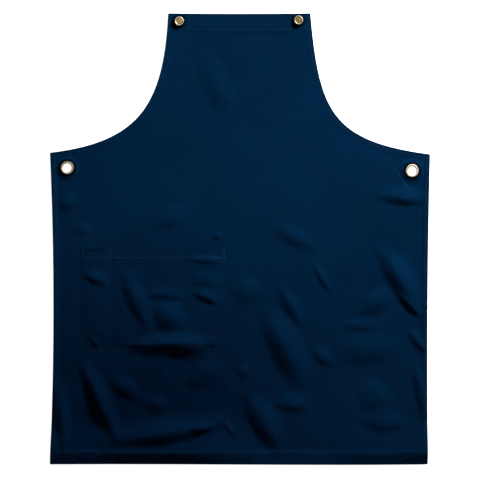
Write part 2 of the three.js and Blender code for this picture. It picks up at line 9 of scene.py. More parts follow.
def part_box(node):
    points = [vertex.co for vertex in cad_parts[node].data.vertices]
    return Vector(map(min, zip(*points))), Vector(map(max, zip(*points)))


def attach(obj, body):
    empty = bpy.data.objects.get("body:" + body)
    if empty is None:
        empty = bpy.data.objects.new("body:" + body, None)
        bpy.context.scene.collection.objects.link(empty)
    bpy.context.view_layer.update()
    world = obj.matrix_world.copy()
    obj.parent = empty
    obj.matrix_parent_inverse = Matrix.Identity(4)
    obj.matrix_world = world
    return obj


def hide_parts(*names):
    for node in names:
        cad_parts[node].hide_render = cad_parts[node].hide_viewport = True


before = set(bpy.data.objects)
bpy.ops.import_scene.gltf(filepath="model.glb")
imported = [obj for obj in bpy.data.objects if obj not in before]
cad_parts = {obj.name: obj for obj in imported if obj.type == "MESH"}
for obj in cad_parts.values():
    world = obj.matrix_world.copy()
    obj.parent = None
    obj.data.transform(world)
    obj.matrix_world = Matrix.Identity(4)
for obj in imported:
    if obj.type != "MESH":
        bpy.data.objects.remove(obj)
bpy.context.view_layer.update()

# Sizes in metres. The panel, pocket and metal take their places from the CAD nodes.
MM = 0.001
PANEL_LOW, PANEL_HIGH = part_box("apron_panel")
LENGTH = PANEL_HIGH.y - PANEL_LOW.y
TOP_HEM_LOW, TOP_HEM_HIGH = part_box("top_hem")
NARROW_HEM = 6.5 * MM
TOP_HEM = 29 * MM
BOTTOM_HEM = 23.5 * MM
CORNER_ROUND = 2.2 * MM
CLOTH = 0.9 * MM
AIR = 0.1 * MM
ROLL = 0.9 * MM
LIP = 1.4 * MM

# How finely the cloth is divided: along an edge, and in the open
EDGE_STEP = 2.6 * MM
OPEN_STEP = 4.0 * MM
POCKET_STEP = 2.8 * MM

POCKET_LOW, POCKET_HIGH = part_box("pocket")
BAND_LOW, BAND_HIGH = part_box("pocket_hem")
PEN_SLOT = 54 * MM
# A patch low on the left where the cloth is painted darker, as painted shade, and its folds stand taller
DEEP_PATCH = (-200 * MM, -300 * MM)
DEEP_SIZE = (230 * MM, 150 * MM)
DEEP_FOLDS = 0.35
POCKET_CORNER = (20.5 * MM, 28 * MM)
POCKET_CLOTH = 0.35 * MM
POCKET_EDGE = 5 * MM
POCKET_GAPE = 1.1 * MM
POCKET_SHOULDER = 28 * MM
# How high the bottom hem's stitching stands above the rolled edge, as (across, height) in mm
BOTTOM_ROLL = (
    (-340, 4.2), (-250, 3.8), (-205, 7.4), (-80, 8.2), (-45, 5.0), (40, 0.2), (160, 0.2), (200, 2.4), (280, 4.2),
    (340, 6.0),
)
ROLL_REACH = 60 * MM
PRESSED_CREASE = ((273.6, 131.3), (311.5, 82))
POCKET_INSET = 2.2 * MM

FOLD_UNSTEADY = 1.2 * MM
FOLD_SCALE = 1.2
# How far a fold runs out past its ends
FOLD_RUN_OUT = 1.3
FOLD_KNEE = 12 * MM
STITCH_PITCH = 3.1 * MM
STITCH_LENGTH = 2.5 * MM
THREAD_RADIUS = 0.27 * MM
TACK_PITCH = 0.5 * MM
TACK_LENGTH = 1.5 * MM
TACK_INSET = 3.4 * MM

# Folds of the panel, which the pocket follows, in mm, each given along its crest from one end to the
# other. bend is how far its middle bows to the left of that line, wide its width on the left, lean the share
# of that on the right, high its height, sharp how far its top is a crease instead of a round, and foot how
# far the foot of its steeper side is a crease.
FOLD_COLUMNS = ("across", "up", "to_across", "to_up", "bend", "wide", "lean", "high", "sharp", "foot")
FOLDS = [
    # Right side, from the eyelet down
    (250, 79, 335, 70, 0, 26, 0.6, 4.0, 0.2, 0.2),
    (250, -20, 317, -130, 6, 34, 0.7, 7.0, 0.3, 0.3),
    (287, -99, 326, -141, 0, 14, 0.6, 3.0, 0.6, 0.3),
    (233, -99, 257, -129, 0, 40, 1.0, 3.5, 0.0, 0.0),
    (184, -156, 251, -159, 0, 18, 0.7, 2.0, 0.1, 0.2),
    (305, -165, 332, -201, 0, 16, 0.7, 3.5, 0.5, 0.3),
    (172, -201, 287, -195, 0, 40, 1.0, 3.0, 0.0, 0.0),
    (318, -225, 329, -315, 0, 18, 0.6, 4.5, 0.5, 0.3),
    (220, -261, 269, -310, 0, 36, 1.0, 3.0, 0.0, 0.0),
    (220, -330, 299, -333, 0, 30, 0.7, 3.0, 0.1, 0.1),
    # Middle, from the waist down
    (64, 20, 130, -15, 0, 26, 0.7, 2.8, 0.2, 0.2),
    (133, -45, 163, -96, 0, 14, 0.6, 2.6, 0.6, 0.3),
    (-8, -81, 34, -105, 0, 30, 1.0, 2.5, 0.0, 0.0),
    (73, -87, 109, -153, 0, 22, 0.7, 3.2, 0.3, 0.2),
    (49, -135, 106, -261, 4, 40, 0.8, 7.0, 0.2, 0.2),
    (130, -201, 166, -225, 0, 22, 0.7, 2.5, 0.1, 0.1),
    (-5, -235, 15, -240, 0, 18, 1.0, 1.8, 0.0, 0.0),
    (10, -279, 70, -382, 4, 34, 0.8, 6.0, 0.2, 0.2),
    (64, -294, 124, -303, 0, 24, 0.7, 2.8, 0.1, 0.1),
    (-32, -325, -7, -357, 0, 10, 0.6, 1.8, 0.6, 0.3),
    # Left side, from the waist down
    (-330, 70, -297, 61, 0, 22, 0.8, 2.5, 0.1, 0.1),
    (-300, 18, -267, 15, 0, 18, 0.8, 1.5, 0.1, 0.1),
    (-152, 23, -95, 52, 0, 26, 0.8, 2.5, 0.1, 0.1),
    (-50, 9, -32, 2, 0, 14, 0.7, 1.6, 0.1, 0.1),
    (-327, -261, -318, -370, 0, 18, 1.0, 4.0, 0.1, 0.1),
    (-282, -225, -222, -358, 0, 26, 0.9, 6.5, 0.2, 0.2),
    (-231, -249, -183, -286, 0, 24, 1.0, 3.0, 0.0, 0.0),
    (-177, -291, -128, -303, 0, 20, 1.0, 2.0, 0.0, 0.0),
    (-92, -261, -38, -225, 0, 30, 1.0, 3.0, 0.0, 0.0),
    (-222, -359, -38, -329, -4, 34, 0.7, 7.0, 0.3, 0.3),
    (-92, -343, -44, -337, 0, 14, 0.7, 3.0, 0.3, 0.3),
    # On and just under the pocket
    (-279, -63, -240, -78, 0, 18, 0.7, 2.5, 0.1, 0.1),
    (-210, -60, -165, -159, 0, 26, 0.8, 4.0, 0.2, 0.2),
    (-90, -36, -29, -42, 0, 12, 0.8, 1.5, 0.1, 0.1),
    (-86, -75, -38, -75, 0, 22, 1.0, 2.0, 0.0, 0.0),
    (-171, -98, -98, -104, 0, 16, 0.7, 1.5, 0.1, 0.1),
    (-86, -96, -38, -114, 0, 20, 0.6, 3.0, 0.3, 0.2),
    (-153, -123, -101, -159, 0, 34, 1.0, 4.5, 0.0, 0.0),
    (-267, -177, -255, -195, 0, 8, 0.8, 1.2, 0.6, 0.2),
    (-200, -192, -47, -186, 0, 26, 1.0, 6.0, 0.3, 0.1),
    (-122, -198, -59, -201, 0, 26, 1.0, 3.0, 0.1, 0.0),
    # Bib
    (-72, 338, -12, 222, 0, 32, 1.0, 2.1, 0.0, 0.0),
]

# Outline

CORNERS = {
    "bib_right": (TOP_HEM_HIGH.x, PANEL_HIGH.y),
    "bib_left": (TOP_HEM_LOW.x, PANEL_HIGH.y),
    "side_left": (PANEL_LOW.x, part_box("left_side_hem")[1].y),
    "bottom_left": (PANEL_LOW.x, PANEL_LOW.y + 1.0 * MM),
    "bottom_right": (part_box("bottom_hem")[1].x, PANEL_LOW.y + 1.0 * MM),
    "side_right": (PANEL_HIGH.x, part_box("right_side_hem")[1].y),
}

# Edges of the outline, anticlockwise from above: the corners, the hem's width, how far in its stitch line
# lies, and the middle control points as shares of the straight line, along it and in towards the cloth
EDGES = [
    {"name": "top_hem", "from": "bib_right", "to": "bib_left", "hem": TOP_HEM, "stitch": TOP_HEM - 1.6 * MM,
     "rise": 0.8 * MM, "fall": 6 * MM, "worn": 0.12,
     "along": (0.33, 0.67), "inward": (0.005, 0.005)},
    {"name": "left_armhole_hem", "from": "bib_left", "to": "side_left", "hem": NARROW_HEM,
     "stitch": NARROW_HEM - 1.2 * MM, "rise": 0.6 * MM, "fall": 6 * MM, "worn": 0.1,
     "along": (0.388, 0.632), "inward": (0.297, 0.344)},
    {"name": "left_side_hem", "from": "side_left", "to": "bottom_left", "hem": NARROW_HEM,
     "stitch": NARROW_HEM - 1.2 * MM, "rise": 1.5 * MM, "fall": 4 * MM, "worn": 0.5,
     "along": (0.33, 0.67), "inward": (0.015, 0.015)},
    {"name": "bottom_hem", "from": "bottom_left", "to": "bottom_right", "hem": BOTTOM_HEM,
     "stitch": BOTTOM_HEM - 1.4 * MM, "rise": 1.2 * MM, "fall": 2.6 * MM, "worn": 0.7,
     "along": (0.4, 0.72), "inward": (0.002, -0.004)},
    {"name": "right_side_hem", "from": "bottom_right", "to": "side_right", "hem": NARROW_HEM,
     "stitch": NARROW_HEM - 1.2 * MM, "rise": 1.5 * MM, "fall": 4 * MM, "worn": 0.5,
     "along": (0.4, 0.67), "inward": (0.006, 0.006)},
    {"name": "right_armhole_hem", "from": "side_right", "to": "bib_right", "hem": NARROW_HEM,
     "stitch": NARROW_HEM - 1.2 * MM, "rise": 0.6 * MM, "fall": 6 * MM, "worn": 0.1,
     "along": (0.403, 0.568), "inward": (0.366, 0.303)},
]


def ease(value):
    value = np.clip(value, 0, 1)
    return value * value * (3 - 2 * value)


def left_of(vectors):
    return np.stack([-vectors[..., 1], vectors[..., 0]], axis=-1)


def unit(vectors):
    return vectors / np.maximum(np.linalg.norm(vectors, axis=-1, keepdims=True), 1e-12)


def respace(points, step):
    """The same line with equal steps of about the given length, ends kept."""
    points = np.asarray(points, float)
    gone = np.concatenate([[0], np.cumsum(np.linalg.norm(np.diff(points, axis=0), axis=1))])
    count = max(1, round(gone[-1] / step))
    wanted = np.linspace(0, gone[-1], count + 1)
    return np.stack([np.interp(wanted, gone, points[:, k]) for k in range(points.shape[1])], axis=1)


def edge_line(edge, step):
    start, end = np.array(CORNERS[edge["from"]]), np.array(CORNERS[edge["to"]])
    chord = end - start
    inward = left_of(chord)
    c1, c2 = (start + a * chord + i * inward for a, i in zip(edge["along"], edge["inward"]))
    t = np.linspace(0, 1, 400)[:, None]
    curve = (1 - t) ** 3 * start + 3 * t * (1 - t) ** 2 * c1 + 3 * t * t * (1 - t) * c2 + t**3 * end
    return respace(curve, step)


def tangents(line):
    return unit(np.gradient(line, axis=0))


def offset_line(line, distance):
    return line + left_of(tangents(line)) * distance


def round_corners(lines, radius):
    """One closed loop from lines that meet end to end, with each meeting corner rounded."""
    loop = []
    for before, line in zip([lines[-1], *lines[:-1]], lines):
        corner = line[0]
        a = corner + unit(before[-2] - corner) * radius
        b = corner + unit(line[1] - corner) * radius
        t = np.linspace(0, 1, 6)[:, None]
        loop.append((1 - t) ** 2 * a + 2 * t * (1 - t) * corner + t * t * b)
        far = np.minimum(np.linalg.norm(line - corner, axis=1), np.linalg.norm(line - line[-1], axis=1))
        loop.append(line[far > radius * 1.3])
    return np.vstack(loop)


class Line:
    """A line or loop that gives the distance, side and place along it of many points at once."""

    def __init__(self, points, closed=False):
        self.points = np.vstack([points, points[:1]]) if closed else np.asarray(points)
        apart = np.linalg.norm(np.diff(self.points, axis=0), axis=1) > 1e-7
        self.points = self.points[np.concatenate([[True], apart])]
        self.steps = np.diff(self.points, axis=0)
        self.lengths = np.linalg.norm(self.steps, axis=1)
        self.gone = np.concatenate([[0], np.cumsum(self.lengths)])
        self.tree = kdtree.KDTree(len(self.steps))
        for k, middle in enumerate(self.points[:-1] + self.steps / 2):
            self.tree.insert((*middle, 0), k)
        self.tree.balance()

    def measure(self, where):
        """Distance from the line, side (positive on its left) and length gone along it."""
        near = np.array([self.tree.find((x, y, 0))[1] for x, y in where])
        best = None
        for shift in (-1, 0, 1):
            k = np.clip(near + shift, 0, len(self.steps) - 1)
            offset = where - self.points[k]
            share = np.clip((offset * self.steps[k]).sum(1) / self.lengths[k] ** 2, 0, 1)
            away = offset - self.steps[k] * share[:, None]
            found = np.stack([
                np.linalg.norm(away, axis=1),
                self.steps[k][:, 0] * offset[:, 1] - self.steps[k][:, 1] * offset[:, 0],
                self.gone[k] + share * self.lengths[k],
            ])
            best = found if best is None else np.where(found[0] < best[0], found, best)
        return best[0], np.sign(best[1]), best[2]


def lattice_noise(where, size, seed, stretch=1.0, turn=0.0):
    """Smooth noise from -1 to 1 with features of the given size, longer by stretch along the turn angle."""
    angle = math.radians(turn)
    u = (where[:, 0] * math.cos(angle) + where[:, 1] * math.sin(angle)) / (size * stretch) + 500
    v = (where[:, 1] * math.cos(angle) - where[:, 0] * math.sin(angle)) / size + 500
    i, j = np.floor(u).astype(int), np.floor(v).astype(int)
    values = np.random.default_rng(seed).uniform(-1, 1, (256, 256))
    a, b = ease(u - i), ease(v - j)
    at = lambda di, dj: values[(i + di) % 256, (j + dj) % 256]
    return (at(0, 0) * (1 - a) + at(1, 0) * a) * (1 - b) + (at(0, 1) * (1 - a) + at(1, 1) * a) * b


def creased_noise(where, size, seed, stretch=1.0, turn=0.0):
    """Shallow facets that meet in creases, from 0 to 1."""
    warp = np.stack([lattice_noise(where, size * 1.7, seed + k) for k in (50, 51)], axis=1) * size * 0.4
    coarse = 1 - np.abs(lattice_noise(where + warp, size, seed, stretch, turn))
    fine = 1 - np.abs(lattice_noise(where + warp, size * 0.45, seed + 7, stretch, turn + 35))
    return 0.75 * coarse + 0.25 * fine


# Folds

def deep_patch(where):
    """1 in the middle of the darkest part low on the left, falling to 0 around it."""
    return np.exp(-((np.linalg.norm((where - DEEP_PATCH) / DEEP_SIZE, axis=1)) ** 2))


def fold_lift(where):
    """The height of all the folds together, their lines made a little unsteady."""
    unsteady = [
        lattice_noise(where, 34 * MM, 60 + k) + 0.4 * lattice_noise(where, 13 * MM, 69 + k) for k in (0, 1)
    ]
    where = (where + np.stack(unsteady, axis=1) * FOLD_UNSTEADY) / MM
    lift = np.zeros(len(where))
    for row in FOLDS:
        fold = dict(zip(FOLD_COLUMNS, row))
        start = np.array((fold["across"], fold["up"]))
        end = np.array((fold["to_across"], fold["to_up"]))
        half = FOLD_RUN_OUT * np.linalg.norm(end - start) / 2
        offset = where - (start + end) / 2
        along = (offset @ unit(end - start)) / half
        aside = offset @ left_of(unit(end - start)) - fold["bend"] * (1 - along**2)
        ends = np.clip(1 - along**2, 0, 1) ** 2
        wide = fold["wide"] * np.where(aside > 0, 1, fold["lean"]) * (0.55 + 0.45 * ends)
        u = np.clip(np.abs(aside) / wide, 0, 1)
        profile = (1 - fold["sharp"]) * (1 - u**2) ** 2 + fold["sharp"] * (1 - u) ** 2
        creased = (1 - fold["sharp"]) * (1 - u**2) + fold["sharp"] * (1 - u)
        steep = aside < 0 if fold["lean"] <= 1 else aside > 0
        profile += fold["foot"] * steep * (creased - profile)
        lift += fold["high"] * FOLD_SCALE * MM * ends * profile
    lift *= 1 + DEEP_FOLDS * deep_patch(where * MM)
    # Where many folds add up, the cloth gives way
    return lift - 0.6 * 1.5 * MM * np.log1p(np.exp((lift - FOLD_KNEE) / (1.5 * MM)))


# Lines of the cloth: outline, hems, pocket seams

for edge in EDGES:
    edge["line"] = edge_line(edge, EDGE_STEP)
OUTLINE = round_corners([edge["line"] for edge in EDGES], CORNER_ROUND)
outline = Line(OUTLINE, closed=True)
for edge in EDGES:
    edge["measure"] = Line(edge["line"])
edges_by_name = {edge["name"]: edge for edge in EDGES}

x0, x1 = POCKET_LOW.x, POCKET_HIGH.x
y0, y1 = POCKET_LOW.y, POCKET_HIGH.y
divider_x = x0 + PEN_SLOT
POCKET_CORNERS = np.array([
    (x1, y1), (x0, y1), (x0, y0 + POCKET_CORNER[1]), (x0 + POCKET_CORNER[0], y0),
    (x1 - POCKET_CORNER[0], y0), (x1, y0 + POCKET_CORNER[1]),
])
pocket_sides = [
    respace([a, b], POCKET_STEP) for a, b in zip(POCKET_CORNERS, np.roll(POCKET_CORNERS, -1, axis=0))
]
POCKET_OUTLINE = round_corners(pocket_sides, 1.6 * MM)
pocket_outline = Line(POCKET_OUTLINE, closed=True)
pocket_sewn = Line(np.vstack([side for side in pocket_sides[1:]]))
BAND_LINE = BAND_LOW.y + 1.3 * MM

# Metal: middle, and the height at which the CAD seats it on the cloth

def middle(node):
    low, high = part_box(node)
    return np.array([(low.x + high.x) / 2, (low.y + high.y) / 2])


SIDES = ("left", "right")
EYELETS = {side: middle(f"{side}_eyelet") for side in SIDES}
BUTTONS = {side: middle(f"{side}_button") for side in SIDES}
EYELET_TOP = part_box("left_eyelet")[1].z
EYELET_CROWN = 2.0 * MM
EYELET_SEAT = EYELET_TOP - EYELET_CROWN
EYELET_RADIUS = (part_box("left_eyelet")[1].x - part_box("left_eyelet")[0].x) / 2
BORE_RADIUS = 8 * MM
BUTTON_LOW, BUTTON_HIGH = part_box("left_button")
BUTTON_SEAT = BUTTON_LOW.z
BUTTON_RADIUS = (BUTTON_HIGH.x - BUTTON_LOW.x) / 2
TACK_RADIUS = 5 * MM
METAL_SETTLE = 11 * MM


def near(where, place, flat, settle):
    return 1 - ease((np.linalg.norm(where - place, axis=1) - flat) / settle)


# Heights

def calm(where):
    """1 in the open, falling to 0 at the metal, which holds the cloth flat."""
    share = np.ones(len(where))
    for side in SIDES:
        share *= 1 - near(where, EYELETS[side], EYELET_RADIUS, METAL_SETTLE)
        share *= 1 - near(where, BUTTONS[side], BUTTON_RADIUS, METAL_SETTLE)
    return share


def crumple(where):
    """The small creases and dents all over, stronger low down."""
    lower = ease((0.25 * LENGTH - where[:, 1]) / (0.7 * LENGTH))
    facets = creased_noise(where, 46 * MM, 3, stretch=1.6, turn=-58) * 0.8 * MM
    small = creased_noise(where, 19 * MM, 11, stretch=1.3, turn=20) * 0.3 * MM
    return (0.05 + 0.95 * lower) * facets + (0.12 + 0.88 * lower) * small


def edge_distances(where):
    return [edge["measure"].measure(where) for edge in EDGES]


def bottom_roll(where):
    """The bottom edge curls down towards the floor from the hem's stitching, which stands up a little."""
    line = edges_by_name["bottom_hem"]["line"]
    away = where[:, 1] - np.interp(where[:, 0], line[:, 0], line[:, 1])
    share = np.clip(away / edges_by_name["bottom_hem"]["stitch"], 0, 1)
    curled = (0.6 * share + 0.4 * np.sin(np.pi / 2 * share)) * (1 - ease((away - BOTTOM_HEM) / ROLL_REACH))
    return np.interp(where[:, 0] / MM, *np.transpose(BOTTOM_ROLL)) * MM * curled


def pressed_crease(where):
    """1 on the pressed crease below the right eyelet, falling to 0 beside it."""
    start, end = (np.array(point) * MM for point in PRESSED_CREASE)
    along = end - start
    share = np.clip((where - start) @ along / (along @ along), 0, 1)
    away = np.linalg.norm(where - start - share[:, None] * along, axis=1)
    return np.exp(-((away / (1.2 * MM)) ** 2)) * np.sin(np.pi * share) ** 0.3


def lift_of(where):
    """How far the cloth's lowest layer is off the floor."""
    lift = fold_lift(where) + crumple(where) + bottom_roll(where) + 0.5 * MM * pressed_crease(where)
    return calm(where) * lift


def hem_rise(where, distances):
    """How far the turned hems lift the panel, falling to 0 past their inner edges."""
    rise = np.zeros(len(where))
    for edge, (distance, _, gone) in zip(EDGES, distances):
        rise = np.maximum(rise, edge["rise"] * (1 - ease((distance - edge["hem"]) / edge["fall"])))
    return rise


def stitch_dent(where, distances):
    """How far the stitching pulls the cloth down along each hem, in small puckers."""
    dent = np.zeros(len(where))
    for k, (edge, (distance, _, gone)) in enumerate(zip(EDGES, distances)):
        away = np.abs(distance - edge["stitch"])
        pull = np.exp(-((away / (0.9 * MM)) ** 2)) * 0.3 * MM
        along = np.stack([gone, np.full(len(gone), k * 0.1)], axis=1)
        pucker = lattice_noise(along, 5.5 * MM, 21 + k) * np.exp(-((away / (5 * MM)) ** 2)) * 0.28 * MM
        dent += pull - pucker
    return dent


def panel_under(where, distances=None):
    distances = distances or edge_distances(where)
    metal = np.zeros(len(where))
    for side in SIDES:
        metal += near(where, EYELETS[side], EYELET_RADIUS, METAL_SETTLE) * (EYELET_SEAT - CLOTH - AIR)
        metal += near(where, BUTTONS[side], TACK_RADIUS, METAL_SETTLE) * (BUTTON_SEAT - CLOTH - AIR)
    return lift_of(where) + np.maximum(hem_rise(where, distances), metal)


def panel_top(where):
    distances = edge_distances(where)
    return panel_under(where, distances) + CLOTH - stitch_dent(where, distances) * calm(where)


def pocket_loose(where):
    """1 where the pocket stands free of the panel, 0 where it is sewn down."""
    loose = ease(pocket_sewn.measure(where)[0] / POCKET_SHOULDER)
    return loose * (1 - 0.35 * np.exp(-(((where[:, 0] - divider_x) / (8 * MM)) ** 2)))


def pocket_under(where):
    gape = POCKET_GAPE + creased_noise(where, 17 * MM, 5, stretch=1.5, turn=-50) * 0.5 * MM
    return panel_top(where) + AIR + pocket_loose(where) * gape


def pocket_band(where):
    """1 in the doubled band at the mouth, falling to 0 below it."""
    return 1 - ease((BAND_LOW.y - where[:, 1]) / (6 * MM))


def pocket_top(where):
    edge_distance = pocket_sewn.measure(where)[0]
    turned_edge = ease(edge_distance / (2 * MM)) * (1 - ease((edge_distance - 9 * MM) / (6 * MM)))
    inset_away = np.abs(edge_distance - POCKET_INSET)
    band_away = np.abs(where[:, 1] - BAND_LINE)
    divider_away = np.abs(where[:, 0] - divider_x)
    dent = np.exp(-((inset_away / (0.9 * MM)) ** 2)) * 0.2 * MM + np.exp(-((band_away / (0.9 * MM)) ** 2)) * 0.3 * MM
    dent += np.exp(-((divider_away / (0.9 * MM)) ** 2)) * 0.3 * MM
    away = np.minimum(inset_away, band_away)
    pucker = lattice_noise(where, 6 * MM, 33) * np.exp(-((away / (5 * MM)) ** 2)) * 0.2 * MM
    doubled = np.maximum(0.7 * pocket_band(where), turned_edge * 0.3)
    thick = POCKET_CLOTH * (1 + doubled) * (0.12 + 0.88 * ease(edge_distance / POCKET_EDGE))
    return pocket_under(where) + thick - dent + pucker


# Meshes

def inside_loop(where, loop):
    inside = np.zeros(len(where), bool)
    for a, b in zip(loop, np.roll(loop, 1, axis=0)):
        crosses = (a[1] > where[:, 1]) != (b[1] > where[:, 1])
        if a[1] != b[1]:
            crosses &= where[:, 0] < (b[0] - a[0]) * (where[:, 1] - a[1]) / (b[1] - a[1]) + a[0]
        inside ^= crosses
    return inside


def hex_points(low, high, step, seed):
    rows = int((high[1] - low[1]) / (step * 0.866)) + 1
    columns = int((high[0] - low[0]) / step) + 1
    j, i = np.mgrid[0:rows, 0:columns]
    points = np.stack([low[0] + (i + (j % 2) / 2) * step, low[1] + j * step * 0.866], axis=-1).reshape(-1, 2)
    return points + np.random.default_rng(seed).uniform(-0.08, 0.08, points.shape) * step


def fill(loop, holes, rows, low, high, step, seed):
    """Points and triangles inside a loop around its holes: rows of points beside the lines, and a net between.
    rows are arrays of points."""
    rims = [loop, *holes]
    rim = np.vstack(rims)
    inner = np.vstack([points for points in rows]) if rows else np.zeros((0, 2))
    tree = kdtree.KDTree(len(inner) + len(rim))
    for k, p in enumerate(np.vstack([inner, rim])):
        tree.insert((*p, 0), k)
    tree.balance()
    lattice = hex_points(low, high, step, seed)
    lattice = lattice[inside_loop(lattice, loop)]
    for hole in holes:
        lattice = lattice[~inside_loop(lattice, hole)]
    lattice = lattice[[tree.find((x, y, 0))[2] > 0.62 * step for x, y in lattice]]
    points = np.vstack([rim, inner, lattice])
    constraints, start = [], 0
    for ring in rims:
        constraints += [(start + k, start + (k + 1) % len(ring)) for k in range(len(ring))]
        start += len(ring)
    found = geometry.delaunay_2d_cdt([Vector(p) for p in points], constraints, [], 0, 1e-9, True)
    places = np.array([tuple(p) for p in found[0]])
    faces = np.array([face for face in found[2] if len(face) == 3])
    centres = places[faces].mean(axis=1)
    keep = inside_loop(centres, loop)
    for hole in holes:
        keep &= ~inside_loop(centres, hole)
    faces = faces[keep]
    a, b, c = (places[faces[:, k]] for k in range(3))
    turn = (b[:, 0] - a[:, 0]) * (c[:, 1] - a[:, 1]) - (b[:, 1] - a[:, 1]) * (c[:, 0] - a[:, 0])
    faces[turn < 0] = faces[turn < 0][:, ::-1]
    used, faces = np.unique(faces, return_inverse=True)
    return places[used], faces.reshape(-1, 3)


def sheet_mesh(name, plan, faces, top, under, attributes=None):
    """A closed sheet over plan triangles, with a top and an underside height for each point."""
    count = len(plan)
    vertices = np.vstack([np.column_stack([plan, top]), np.column_stack([plan, under])])
    edges = np.vstack([faces[:, [0, 1]], faces[:, [1, 2]], faces[:, [2, 0]]])
    known = set(map(tuple, edges))
    rim = np.array([edge for edge in known if (edge[1], edge[0]) not in known])
    walls = np.column_stack([rim[:, 0], rim[:, 0] + count, rim[:, 1] + count, rim[:, 1]])
    mesh = bpy.data.meshes.new(name)
    mesh.from_pydata(vertices.tolist(), [], [*faces.tolist(), *(faces[:, ::-1] + count).tolist(), *walls.tolist()])
    mesh.shade_smooth()
    for key, values in (attributes or {}).items():
        data = mesh.attributes.new(key, "FLOAT", "POINT").data
        data.foreach_set("value", np.concatenate([values, values]).astype(np.float32))
    return mesh_object(name, mesh)


def mesh_object(name, mesh):
    made = bpy.data.objects.new(name, mesh)
    bpy.context.scene.collection.objects.link(made)
    return made


def painted_light_and_tone(where):
    """Painted light and shade, with a little tone that differs at random: darker in a patch low on the left and high up
    on the right of the bib, lighter about the waist left of the middle.
    """
    upper = ease((where[:, 1] - 0.15) / 0.25) * ease((where[:, 0] + 0.12) / 0.12)
    waist = np.exp(-(((where[:, 1] - 0.09) / 0.11) ** 2)) * (1 - ease((where[:, 0] - 0.1) / 0.15))
    return 0.73 - 0.6 * deep_patch(where) - 0.32 * upper + 0.2 * waist + 0.05 * lattice_noise(where, 70 * MM, 90)


def painted_shade(where):
    """Painted shade: how dark the cloth is painted in a ring round the metal, and along the pocket's mouth, most at the
    pen slot, where shade falls.
    """
    dark = np.zeros(len(where))
    for side in SIDES:
        for place, clear in ((EYELETS[side], EYELET_RADIUS + 1.8 * MM), (BUTTONS[side], BUTTON_RADIUS + 3.4 * MM)):
            away = np.linalg.norm(where - place, axis=1)
            dark = np.maximum(dark, 1 - ease((away - clear) / (2.8 * MM)))
    slot = np.exp(-((np.abs(where[:, 0] - x0 - 0.38 * PEN_SLOT) / (0.33 * PEN_SLOT)) ** 6))
    mouth = np.exp(-(((where[:, 1] - y1 + 0.3 * MM) / (1.1 * MM)) ** 2))
    return np.maximum(dark, (0.35 + 0.65 * slot) * mouth * (np.abs(where[:, 0] - (x0 + x1) / 2) < (x1 - x0) / 2))


def wear_and_highlight_along(where, lines, seed):
    """How much lighter the cloth is along lines, in patches: rubbed wear along seams and edges, and painted highlight
    where a line is given a high strength. lines are (distance, width, strength) groups.
    """
    worn_and_lit = np.zeros(len(where))
    for away, width, strength in lines:
        worn_and_lit = np.maximum(worn_and_lit, strength * np.exp(-((away / width) ** 2)))
    return worn_and_lit * (0.45 + 0.55 * lattice_noise(where, 26 * MM, seed))


ROLL_ROWS = (0.12, 0.35, 0.7, 1.1, 1.5, 2.3, 3.4)
STITCH_ROWS = (-1.6, -0.8, 0.0, 0.8, 1.6, 3.2, 5.4)


def panel_rows():
    """Rows of points beside the outline, the hem stitches and the metal."""
    rows = []
    for edge in EDGES:
        distances = [*(d * MM for d in ROLL_ROWS), *(edge["stitch"] + d * MM for d in STITCH_ROWS)]
        for distance in distances:
            points = offset_line(edge["line"], distance)
            rows.append(points[outline.measure(points)[0] > distance - 0.04 * MM])
    start, end = (np.array(point) * MM for point in PRESSED_CREASE)
    crease = respace([start, end], 2 * MM)
    rows += [offset_line(crease, away * MM) for away in (-2.4, -1.2, 0, 1.2, 2.4)]
    for place in EYELETS.values():
        for radius in (8.9, 10.5, 12.6, 13.6, 14.6, 15.8, 17.5, 20, 23.5):
            rows.append(ring(place, radius * MM, 48))
    for place in BUTTONS.values():
        for radius in (3, 5, 7.5, 8.8, 9.8, 10.8, 12, 14):
            rows.append(ring(place, radius * MM, 40))
    return rows


def ring(place, radius, count):
    angle = np.linspace(0, 2 * np.pi, count, endpoint=False)
    return place + np.column_stack([np.cos(angle), np.sin(angle)]) * radius


def rolled(distance, top, floor):
    """The top surface turned down over a folded edge."""
    share = np.clip(distance / ROLL, 0, 1)
    return floor + (top - floor) * np.sqrt(np.clip(1 - (1 - share) ** 2, 0, 1)) ** 0.8


def make_panel():
    holes = [ring(place, BORE_RADIUS + 0.5 * MM, 48) for place in EYELETS.values()]
    plan, faces = fill(OUTLINE, holes, panel_rows(), PANEL_LOW, PANEL_HIGH, OPEN_STEP, 1)
    distance = outline.measure(plan)[0]
    distances = edge_distances(plan)
    lift = lift_of(plan)
    under = panel_under(plan, distances)
    flat_top = under + CLOTH - stitch_dent(plan, distances) * calm(plan)
    top = rolled(distance, flat_top, lift + 0.9 * MM)
    under = np.where(distance < LIP, lift + 0.15 * MM, under)
    lines = [
        (np.abs(away - edge["stitch"] - 0.8 * MM), 1.2 * MM, edge["worn"])
        for edge, (away, _, _) in zip(EDGES, distances)
    ]
    lines.append((distance, 0.8 * MM, 0.4))
    # Rubbed wear along the hems and the outline, and a painted highlight along the pressed crease
    wear_and_highlight = np.maximum(wear_and_highlight_along(plan, lines, 71), 0.9 * pressed_crease(plan))
    return sheet_mesh("apron_cloth", plan, faces, top, under, {"wear_and_highlight": wear_and_highlight, "painted_shade": painted_shade(plan), "painted_light_and_tone": painted_light_and_tone(plan)})


# Where two hems meet, the one named first lies over the other
HEM_ORDER = (
    "top_hem", "bottom_hem", "left_side_hem", "right_side_hem", "left_armhole_hem", "right_armhole_hem",
)


def clear_of(points, edge):
    """Which of the points beside an edge are clear of the outline's lip and of the hems laid over this one."""
    keep = outline.measure(points)[0] > LIP + AIR - 0.02 * MM
    for name in HEM_ORDER[:HEM_ORDER.index(edge["name"])]:
        over = edges_by_name[name]
        keep &= over["measure"].measure(points)[0] > over["hem"] + AIR
    return points[keep]


